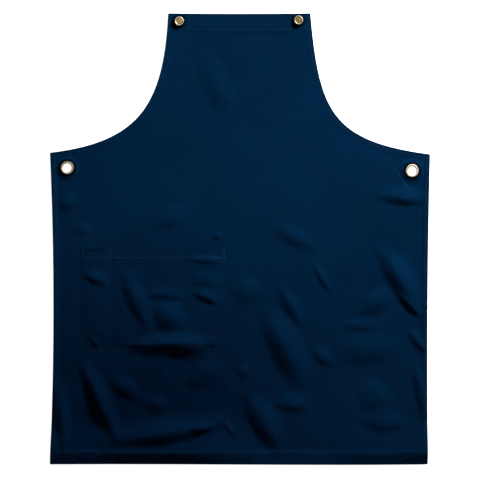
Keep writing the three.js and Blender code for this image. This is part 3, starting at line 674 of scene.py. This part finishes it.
def make_hem(edge):
    """The turned strip under one edge of the panel, between the panel's lip and its own inner edge."""
    fine = edge_line(edge, 0.25 * MM)
    outer = clear_of(offset_line(fine, LIP + AIR), edge)
    inner = clear_of(offset_line(fine, edge["hem"]), edge)
    loop = np.vstack([respace(outer, EDGE_STEP), respace(inner[::-1], EDGE_STEP)])
    holes = []
    if edge["name"] == "top_hem":
        holes = [ring(place, NAIL_HOLE, 16) for place in BUTTONS.values()]
    rows = [ring(place, radius * MM, 24) for place in BUTTONS.values() for radius in (3.5, 5.5, 8)]
    rows = rows if edge["name"] == "top_hem" else []
    low, high = loop.min(axis=0), loop.max(axis=0)
    plan, faces = fill(loop, holes, rows, low, high, OPEN_STEP, 6)
    distances = edge_distances(plan)
    top = panel_under(plan, distances) - AIR
    tack = sum(near(plan, BUTTONS[side], TACK_RADIUS + 0.5 * MM, 5 * MM) for side in SIDES) * 1.0 * MM
    under = np.minimum(lift_of(plan) + 0.15 * MM + tack, top - 0.35 * MM)
    return sheet_mesh(edge["name"] + "_cloth", plan, faces, top, under, {"wear_and_highlight": np.zeros(len(plan)), "painted_light_and_tone": painted_light_and_tone(plan)})


def make_pocket():
    rows = []
    for side in pocket_sides:
        for distance in (0.15, 0.4, 0.8, 1.3, 1.8, 2.2, 2.7, 3.5, 5):
            points = offset_line(side, distance * MM)
            rows.append(points[pocket_outline.measure(points)[0] > distance * MM - 0.04 * MM])
    for away in (-3, -1.6, -0.8, 0, 0.8, 1.6, 3):
        rows.append(respace([(divider_x + away * MM, y0 + 3 * MM), (divider_x + away * MM, y1 - 3 * MM)], POCKET_STEP))
    plan, faces = fill(POCKET_OUTLINE, [], rows, POCKET_LOW, POCKET_HIGH, POCKET_STEP, 2)
    distance = pocket_outline.measure(plan)[0]
    under = pocket_under(plan)
    top = rolled(distance, pocket_top(plan), under + 0.05 * MM)
    sewn = pocket_sewn.measure(plan)[0]
    # Light wear along the sewn edge, and a painted highlight along the band seam
    lines = [
        (np.abs(sewn - POCKET_INSET), 1.0 * MM, 0.1), (np.abs(plan[:, 1] - BAND_LINE), 1.2 * MM, 1.5),
    ]
    paints = {"wear_and_highlight": wear_and_highlight_along(plan, lines, 71), "painted_shade": painted_shade(plan), "painted_light_and_tone": painted_light_and_tone(plan)}
    return sheet_mesh("pocket_cloth", plan, faces, top, under, paints)


def make_pocket_band():
    """The turned strip inside the pocket's mouth."""
    loop = np.array([(x1 - 7 * MM, y1 - LIP), (x0 + 7 * MM, y1 - LIP), (x0 + 7 * MM, BAND_LOW.y), (x1 - 7 * MM, BAND_LOW.y)])
    loop = np.vstack([respace([a, b], POCKET_STEP)[:-1] for a, b in zip(loop, np.roll(loop, -1, axis=0))])
    plan, faces = fill(loop, [], [], loop.min(axis=0), loop.max(axis=0), POCKET_STEP, 8)
    top = pocket_under(plan) - AIR
    floor_of = panel_top(plan) + AIR
    under = np.maximum(top - CLOTH, np.minimum(floor_of, top - 0.2 * MM))
    return sheet_mesh("pocket_band", plan, faces, top, under, {"wear_and_highlight": np.zeros(len(plan)), "painted_light_and_tone": painted_light_and_tone(plan)})


# Stitching

def stitch_centres(line, first=0.0):
    """Centres and directions of the stitches along a line."""
    line = np.asarray(line)
    gone = np.concatenate([[0], np.cumsum(np.linalg.norm(np.diff(line, axis=0), axis=1))])
    count = max(1, int((gone[-1] - first) / STITCH_PITCH))
    at = first + (np.arange(count) + 0.5) * STITCH_PITCH
    centre = np.stack([np.interp(at, gone, line[:, k]) for k in (0, 1)], axis=1)
    ahead = np.stack([np.interp(at + 0.5 * MM, gone, line[:, k]) for k in (0, 1)], axis=1)
    behind = np.stack([np.interp(at - 0.5 * MM, gone, line[:, k]) for k in (0, 1)], axis=1)
    return centre, unit(ahead - behind)


def stitches_along(lines):
    return tuple(np.vstack(parts) for parts in zip(*[stitch_centres(line) for line in lines]))


def bar_tack(x, low, high):
    """Closely set crosswise stitches up a short bar."""
    ups = np.arange(low, high, TACK_PITCH)
    centre = np.column_stack([np.full(len(ups), x), ups])
    return centre, np.tile((1.0, 0.0), (len(ups), 1))


def make_stitches(name, places, length, surface, seed):
    """Short arcs of thread that dip into the cloth at both ends, all one piece. places gives their centres
    and directions."""
    centre, direction = places
    random = np.random.default_rng(seed)
    turn = np.radians(random.normal(4, 1.6, len(centre)))
    c, s = np.cos(turn)[:, None], np.sin(turn)[:, None]
    direction = direction * c + left_of(direction) * s
    half = length / 2 * random.uniform(0.92, 1.04, len(centre))[:, None]
    shares = np.array([-1.0, -0.9, -0.55, 0.0, 0.55, 0.9, 1.0])
    rises = np.array([-0.5, -0.05, 0.42, 0.62, 0.42, -0.05, -0.5]) * THREAD_RADIUS
    widths = np.array([0.35, 0.85, 1.0, 1.0, 1.0, 0.85, 0.35]) * THREAD_RADIUS
    places = centre[:, None, :] + direction[:, None, :] * shares[None, :, None] * half[:, None, :]
    heights = surface(places.reshape(-1, 2)).reshape(len(centre), -1) + rises
    across = left_of(direction)
    sides = 6
    angle = np.linspace(0, 2 * np.pi, sides, endpoint=False)
    rings = np.zeros((len(centre), len(shares), sides, 3))
    rings[..., :2] = places[:, :, None, :] + (
        across[:, None, None, :] * (np.cos(angle)[None, None, :, None] * widths[None, :, None, None])
    )
    rings[..., 2] = heights[:, :, None] + np.sin(angle)[None, None, :] * widths[None, :, None]
    vertices = rings.reshape(-1, 3)
    faces = []
    each = len(shares) * sides
    k = np.arange(sides)
    after = (k + 1) % sides
    template = [
        (r * sides + a, r * sides + b, (r + 1) * sides + b, (r + 1) * sides + a)
        for r in range(len(shares) - 1) for a, b in zip(k, after)
    ]
    caps = [tuple(k[::-1]), tuple(k + (len(shares) - 1) * sides)]
    for start in range(0, len(centre) * each, each):
        faces += [tuple(int(v) + start for v in face) for face in template + caps]
    mesh = bpy.data.meshes.new(name)
    mesh.from_pydata(vertices.tolist(), [], faces)
    mesh.shade_smooth()
    return mesh_object(name, mesh)


def hem_stitch_line(edge):
    line = offset_line(edge_line(edge, 0.5 * MM), edge["stitch"])
    keep = np.ones(len(line), bool)
    for other in EDGES:
        if other is not edge:
            keep &= other["measure"].measure(line)[0] > min(other["stitch"], 2.6 * MM)
    return line[keep]


# Metal

def lathe(name, place, height, profile, sides, material):
    """A turned piece from a closed profile of (radius, height) in mm, seated at a height."""
    profile = smooth_profile(profile)
    angle = np.linspace(0, 2 * np.pi, sides, endpoint=False)
    count = len(profile)
    radius, rise = profile[:, 0] * MM, profile[:, 1] * MM
    vertices = np.stack([
        np.cos(angle)[:, None] * radius, np.sin(angle)[:, None] * radius, np.tile(rise, (sides, 1)),
    ], axis=-1).reshape(-1, 3)
    faces = []
    for a in range(sides):
        b = (a + 1) % sides
        for k in range(count):
            n = (k + 1) % count
            if radius[k] < 1e-9 and radius[n] < 1e-9:
                continue
            faces.append((a * count + k, b * count + k, b * count + n, a * count + n))
    mesh = bpy.data.meshes.new(name)
    mesh.from_pydata(vertices.tolist(), [], faces)
    work = bmesh.new()
    work.from_mesh(mesh)
    bmesh.ops.remove_doubles(work, verts=work.verts, dist=1e-7)
    bmesh.ops.dissolve_degenerate(work, edges=work.edges, dist=1e-7)
    bmesh.ops.recalc_face_normals(work, faces=work.faces)
    work.to_mesh(mesh)
    work.free()
    mesh.shade_smooth()
    mesh.materials.append(material)
    made = mesh_object(name, mesh)
    made.location = (*place, height)
    return made


def smooth_profile(profile):
    """Rounds each bend of a closed profile with a short curve; repeated points stay sharp."""
    p = np.asarray(profile, float)
    out = []
    for before, here, after in zip(np.roll(p, 1, axis=0), p, np.roll(p, -1, axis=0)):
        if here[0] == 0:
            out.append(here)
            continue
        a, b = before - here, after - here
        reach = 0.45 * min(np.linalg.norm(a), np.linalg.norm(b))
        a, b = here + unit(a) * reach, here + unit(b) * reach
        for t in (0, 0.25, 0.5, 0.75, 1):
            out.append((1 - t) ** 2 * a + 2 * t * (1 - t) * here + t * t * b)
    return np.array(out)


BORE = BORE_RADIUS / MM
SEAT = (EYELET_SEAT - 0.0) / MM
EYELET_PROFILE = [
    (BORE, 0.7), (BORE, -SEAT + 0.5), (BORE + 0.3, -SEAT + 0.05), (BORE + 1.6, -SEAT + 0.0),
    (BORE + 2.2, -SEAT + 0.35), (BORE + 1.6, -SEAT + 0.6), (BORE + 0.6, -SEAT + 0.9), (BORE + 0.6, 0.2),
    (BORE + 1.2, 0.8), (BORE + 2.6, 0.9), (BORE + 3.9, 0.4), (BORE + 4.5, 0.02), (BORE + 5.0, 0.0),
    (BORE + 4.95, 0.3), (BORE + 4.4, 0.7), (BORE + 3.6, 1.2), (BORE + 2.3, 1.45), (BORE + 1.0, 1.4),
    (BORE + 0.25, 1.1),
]
WASHER_PROFILE = [
    (BORE + 0.9, 0.0), (BORE + 5.0, 0.0), (BORE + 5.3, 0.3), (BORE + 4.9, 0.75), (BORE + 3.0, 1.15),
    (BORE + 0.9, 1.25),
]
BUTTON_PROFILE = [
    (0, 0), (3.3, 0), (3.3, 0.3), (3.9, 0.5), (6.6, 0.6), (8.1, 0.8), (8.5, 1.3), (8.1, 2.0), (7.2, 2.4),
    (6.4, 2.25), (5.8, 1.8), (5.2, 1.65), (4.4, 1.85), (3.9, 1.8), (2.2, 1.9), (0, 1.95),
]
TACK_PROFILE = [(0, 0), (4.6, 0), (5.0, 0.35), (4.3, 0.75), (2.0, 0.95), (1.2, 1.0), (1.1, 3.6), (0.7, 3.9), (0, 4.0)]
NAIL_HOLE = 1.5 * MM

# Materials

def new_material(name):
    made = bpy.data.materials.new(name)
    made.use_nodes = True
    return made, made.node_tree.nodes, made.node_tree.links, made.node_tree.nodes["Principled BSDF"]


def mixed(nodes, links, kind, factor, first, second):
    """A colour mix whose inputs are sockets or plain colours."""
    made = nodes.new("ShaderNodeMix")
    made.data_type = "RGBA"
    made.blend_type = kind
    for index, value in ((0, factor), (6, first), (7, second)):
        if isinstance(value, bpy.types.NodeSocket):
            links.new(value, made.inputs[index])
        else:
            made.inputs[index].default_value = value
    return made.outputs[2]


def math_node(nodes, links, operation, *values):
    made = nodes.new("ShaderNodeMath")
    made.operation = operation
    for socket, value in zip(made.inputs, values):
        if isinstance(value, bpy.types.NodeSocket):
            links.new(value, socket)
        else:
            socket.default_value = value
    return made.outputs[0]


def scaled_place(nodes, links, scale, turn=0.0):
    """Object coordinates scaled by a different amount each way."""
    place = nodes.new("ShaderNodeTexCoord").outputs["Object"]
    mapping = nodes.new("ShaderNodeMapping")
    links.new(place, mapping.inputs["Vector"])
    mapping.inputs["Scale"].default_value = scale
    mapping.inputs["Rotation"].default_value = (0, 0, math.radians(turn))
    return mapping.outputs["Vector"]


def noise(nodes, links, vector, scale, detail=3.0, rough=0.55):
    made = nodes.new("ShaderNodeTexNoise")
    links.new(vector, made.inputs["Vector"])
    made.inputs["Scale"].default_value = scale
    made.inputs["Detail"].default_value = detail
    made.inputs["Roughness"].default_value = rough
    return made.outputs["Fac"]


NAVY = (0.0004, 0.0135, 0.0410, 1)
NAVY_DEEP = (0.0002, 0.0050, 0.0190, 1)
# Lighter navy for rubbed wear and for painted highlight
NAVY_WORN_AND_LIT = (0.006, 0.042, 0.095, 1)
YARNS_PER_METRE = 1500


def canvas_material():
    made, nodes, links, shader = new_material("canvas")
    place = scaled_place(nodes, links, (1, 1, 1))
    blotch = noise(nodes, links, place, 9, 4)
    streak_up = noise(nodes, links, scaled_place(nodes, links, (1, 0.03, 1)), 420, 2)
    streak_across = noise(nodes, links, scaled_place(nodes, links, (0.03, 1, 1)), 420, 2)
    # Painted light and shade across the cloth, with a little random tone: darker low on the left and high on the bib,
    # lighter at the waist
    painted_light_and_tone = nodes.new("ShaderNodeAttribute")
    painted_light_and_tone.attribute_name = "painted_light_and_tone"
    tone = math_node(nodes, links, "ADD", math_node(nodes, links, "MULTIPLY", blotch, 0.8),
                     math_node(nodes, links, "MULTIPLY", math_node(nodes, links, "ADD", streak_up, streak_across), 0.35))
    tone = math_node(nodes, links, "ADD", tone, math_node(nodes, links, "MULTIPLY", painted_light_and_tone.outputs["Fac"], 1.0))
    tone = math_node(nodes, links, "SUBTRACT", tone, 0.75)
    colour = mixed(nodes, links, "MIX", tone, NAVY_DEEP, NAVY)
    # Lighter navy for rubbed wear, and for painted highlight along the band seam and the pressed crease
    wear_and_highlight = nodes.new("ShaderNodeAttribute")
    wear_and_highlight.attribute_name = "wear_and_highlight"
    patchy = noise(nodes, links, place, 160, 3)
    worn_and_lit = math_node(nodes, links, "MULTIPLY", wear_and_highlight.outputs["Fac"], math_node(nodes, links, "MULTIPLY", patchy, 0.55))
    colour = mixed(nodes, links, "MIX", worn_and_lit, colour, NAVY_WORN_AND_LIT)
    # Painted shade round the metal and along the pocket's mouth: the colour mixed nearly to black
    shade_attribute = nodes.new("ShaderNodeAttribute")
    shade_attribute.attribute_name = "painted_shade"
    shade_share = math_node(nodes, links, "MULTIPLY", shade_attribute.outputs["Fac"], 0.95)
    colour = mixed(nodes, links, "MIX", shade_share, colour, (0.0002, 0.002, 0.005, 1))
    links.new(colour, shader.inputs["Base Color"])
    # Plain weave: two sine bands whose product gives the overs and unders
    weave = []
    for scale in ((YARNS_PER_METRE, 0, 0), (0, YARNS_PER_METRE, 0)):
        wave = nodes.new("ShaderNodeTexWave")
        wave.bands_direction = "X" if scale[0] else "Y"
        wave.inputs["Scale"].default_value = YARNS_PER_METRE / 20
        wave.inputs["Distortion"].default_value = 0.6
        wave.inputs["Detail Scale"].default_value = 2
        links.new(place, wave.inputs["Vector"])
        weave.append(wave.outputs["Fac"])
    height = math_node(nodes, links, "MULTIPLY", *weave)
    height = math_node(nodes, links, "ADD", height, math_node(nodes, links, "MULTIPLY", streak_up, 0.6))
    bump = nodes.new("ShaderNodeBump")
    bump.inputs["Strength"].default_value = 0.25
    bump.inputs["Distance"].default_value = 0.12 * MM
    links.new(height, bump.inputs["Height"])
    links.new(bump.outputs["Normal"], shader.inputs["Normal"])
    shader.inputs["Roughness"].default_value = 0.88
    shader.inputs["Specular IOR Level"].default_value = 0.03
    shader.inputs["Specular Tint"].default_value = (0.02, 0.5, 1, 1)
    shader.inputs["Sheen Weight"].default_value = 0.03
    shader.inputs["Sheen Roughness"].default_value = 0.5
    shader.inputs["Sheen Tint"].default_value = (0.04, 0.45, 1, 1)
    return made


def thread_material(name, colour):
    made, nodes, links, shader = new_material(name)
    shader.inputs["Base Color"].default_value = colour
    shader.inputs["Roughness"].default_value = 0.7
    shader.inputs["Specular IOR Level"].default_value = 0.12
    return made


def brass_material(name, stops, roughness):
    """Metal whose colour depends on the distance from its own axis, with painted shade where its stops darken the outer
    edge.
    """
    made, nodes, links, shader = new_material(name)
    place = nodes.new("ShaderNodeTexCoord").outputs["Object"]
    flat = nodes.new("ShaderNodeVectorMath")
    flat.operation = "MULTIPLY"
    flat.inputs[1].default_value = (1, 1, 0)
    links.new(place, flat.inputs[0])
    length = nodes.new("ShaderNodeVectorMath")
    length.operation = "LENGTH"
    links.new(flat.outputs["Vector"], length.inputs[0])
    ramp = nodes.new("ShaderNodeValToRGB")
    ramp.color_ramp.interpolation = "EASE"
    while len(ramp.color_ramp.elements) < len(stops):
        ramp.color_ramp.elements.new(0.5)
    for element, (radius, colour) in zip(ramp.color_ramp.elements, stops):
        element.position = radius / 20
        element.color = (*colour, 1)
    speckle = noise(nodes, links, place, 900, 3, 0.7)
    share = math_node(nodes, links, "MULTIPLY", length.outputs["Value"], 1000 / 20)
    wobble = math_node(nodes, links, "MULTIPLY", math_node(nodes, links, "SUBTRACT", speckle, 0.5), 0.025)
    links.new(math_node(nodes, links, "ADD", share, wobble), ramp.inputs["Fac"])
    dulled = mixed(nodes, links, "MULTIPLY", 0.5, ramp.outputs["Color"], speckle_colour(nodes, links, speckle))
    links.new(dulled, shader.inputs["Base Color"])
    shader.inputs["Metallic"].default_value = 1
    shader.inputs["Roughness"].default_value = roughness
    bump = nodes.new("ShaderNodeBump")
    bump.inputs["Strength"].default_value = 0.3
    bump.inputs["Distance"].default_value = 0.05 * MM
    links.new(speckle, bump.inputs["Height"])
    links.new(bump.outputs["Normal"], shader.inputs["Normal"])
    return made


def speckle_colour(nodes, links, value):
    ramp = nodes.new("ShaderNodeValToRGB")
    ramp.color_ramp.elements[0].position = 0.35
    ramp.color_ramp.elements[0].color = (0.35, 0.3, 0.25, 1)
    ramp.color_ramp.elements[1].position = 0.6
    ramp.color_ramp.elements[1].color = (1, 1, 1, 1)
    links.new(value, ramp.inputs["Fac"])
    return ramp.outputs["Color"]


canvas = canvas_material()
thread = thread_material("thread", (0.0012, 0.017, 0.047, 1))
pale_thread = thread_material("pale_thread", (0.008, 0.042, 0.094, 1))
dark_thread = thread_material("dark_thread", (0.0006, 0.010, 0.030, 1))
tack_thread = thread_material("tack_thread", (0.004, 0.029, 0.07, 1))
# Dark colour at the outer edge of the eyelets and buttons: painted shade for the ring of shadow round them
PAINTED_EDGE_SHADE = (0.02, 0.017, 0.013)
eyelet_brass = brass_material("eyelet_brass", [
    (7.9, (0.50, 0.42, 0.30)), (8.4, (0.90, 0.78, 0.60)), (10.8, (0.92, 0.80, 0.62)), (11.7, PAINTED_EDGE_SHADE),
], 0.5)
# Two copies of one brass for the buttons: the right one's colours are painted darker, as painted shade for its dimmer
# look
BUTTON_BRASS = {
    side: brass_material(f"{side}_button_brass", [
        (0.5, centre), (5.0, centre), (5.7, (0.24, 0.18, 0.09)), (6.4, rim), (7.7, rim), (8.3, PAINTED_EDGE_SHADE),
    ], 0.55)
    for side, centre, rim in (
        ("left", (0.42, 0.29, 0.13), (0.54, 0.46, 0.33)), ("right", (0.20, 0.145, 0.055), (0.34, 0.29, 0.19)),
    )
}
back_metal = brass_material("back_metal", [(0.5, (0.42, 0.36, 0.26)), (14, (0.36, 0.30, 0.21))], 0.45)


def settle(piece, material, slot_name, *nodes):
    if not piece.data.materials:
        piece.data.materials.append(material)
    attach(piece, "root")
    if nodes:
        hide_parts(*nodes)
    return piece


panel = settle(make_panel(), canvas, "canvas", "apron_panel")
hems = [settle(make_hem(edge), canvas, "canvas", edge["name"]) for edge in EDGES]
pocket = settle(make_pocket(), canvas, "canvas", "pocket")
pocket_band_piece = settle(make_pocket_band(), canvas, "canvas", "pocket_hem")

front_lines = [hem_stitch_line(edge) for edge in EDGES]
settle(make_stitches("hem_stitches", stitches_along(front_lines), STITCH_LENGTH, panel_top, 41), thread, "thread")
pocket_loop = [offset_line(side, POCKET_INSET) for side in pocket_sides[1:]]
pocket_loop = [line[pocket_outline.measure(line)[0] > POCKET_INSET - 0.1 * MM] for line in pocket_loop]
pocket_seam = respace(np.vstack(pocket_loop), 0.5 * MM)
band_seam = respace([(x1 - POCKET_INSET, BAND_LINE), (x0 + POCKET_INSET, BAND_LINE)], 0.5 * MM)
divider_seam = respace([(divider_x, y1 - 2 * MM), (divider_x, y0 + POCKET_INSET)], 0.5 * MM)
pocket_places = stitches_along([pocket_seam, divider_seam])
settle(make_stitches("pocket_stitches", pocket_places, STITCH_LENGTH, pocket_top, 42), dark_thread, "thread")
band_places = stitches_along([band_seam])
settle(make_stitches("band_stitches", band_places, STITCH_LENGTH, pocket_top, 44), pale_thread, "thread")
tacks = [bar_tack(x, BAND_LINE, y1 - 1.2 * MM) for x in (x0 + TACK_INSET, divider_x, x1 - TACK_INSET)]
tack_places = tuple(np.vstack(parts) for parts in zip(*tacks))
settle(make_stitches("pocket_bar_tacks", tack_places, TACK_LENGTH, pocket_top, 43), tack_thread, "thread")

for side in SIDES:
    place = EYELETS[side]
    settle(lathe(f"{side}_eyelet_ring", place, EYELET_SEAT, EYELET_PROFILE, 72, eyelet_brass),
           eyelet_brass, "aged_brass", f"{side}_eyelet")
    settle(lathe(f"{side}_eyelet_back", place, 0.95 * MM, WASHER_PROFILE, 72, back_metal),
           back_metal, "back_metal", f"{side}_eyelet_washer")
    settle(lathe(f"{side}_button_cap", BUTTONS[side], BUTTON_SEAT, BUTTON_PROFILE, 72, BUTTON_BRASS[side]),
           BUTTON_BRASS[side], "aged_brass", f"{side}_button")
    settle(lathe(f"{side}_button_back", BUTTONS[side], 0, TACK_PROFILE, 48, back_metal),
           back_metal, "back_metal", f"{side}_button_tack")

# Floor, light and camera

floor_mesh = bpy.data.meshes.new("floor")
floor_mesh.from_pydata([(-6, -6, 0), (6, -6, 0), (6, 6, 0), (-6, 6, 0)], [], [(0, 1, 2, 3)])
floor = mesh_object("floor", floor_mesh)
floor.location.z = -0.2 * MM
white, _, _, white_shader = new_material("floor_white")
white_shader.inputs["Base Color"].default_value = (0.8, 0.8, 0.8, 1)
white_shader.inputs["Roughness"].default_value = 1.0
white_shader.inputs["Specular IOR Level"].default_value = 0
white_shader.inputs["Emission Color"].default_value = (1, 1, 1, 1)
white_shader.inputs["Emission Strength"].default_value = 0.95
floor.data.materials.append(white)


def area_light(name, place, aim, size, watts):
    lamp = bpy.data.lights.new(name, "AREA")
    lamp.shape = "DISK"
    lamp.size = size
    lamp.energy = watts
    made = bpy.data.objects.new(name, lamp)
    made.location = place
    made.rotation_mode = "QUATERNION"
    made.rotation_quaternion = (Vector(aim) - Vector(place)).to_track_quat("-Z", "Y")
    bpy.context.scene.collection.objects.link(made)


area_light("key", (0.80, 1.30, 0.60), (0.0, 0.1, 0), 0.30, 70)
area_light("overhead", (0.0, 0.2, 3.2), (0, 0, 0), 1.8, 6)
world = bpy.data.worlds.new("world")
bpy.context.scene.world = world
world.use_nodes = True
world.node_tree.nodes["Background"].inputs["Color"].default_value = (1, 1, 1, 1)
world.node_tree.nodes["Background"].inputs["Strength"].default_value = 0.04

# The camera looks straight down, with the photograph's field
PHOTO_SCALE = 1.8050 * MM
PHOTO_MIDDLE = -1.7 * MM
PHOTO_SIZE = 480
LENS = 100
SENSOR = 36
camera = bpy.data.cameras.new("camera")
camera.lens = LENS
camera.sensor_width = SENSOR
camera_object = bpy.data.objects.new("camera", camera)
camera_object.location = (0, PHOTO_MIDDLE, PHOTO_SCALE * PHOTO_SIZE * LENS / SENSOR)
bpy.context.scene.collection.objects.link(camera_object)
bpy.context.scene.camera = camera_object
bpy.context.scene.view_settings.view_transform = "Standard"
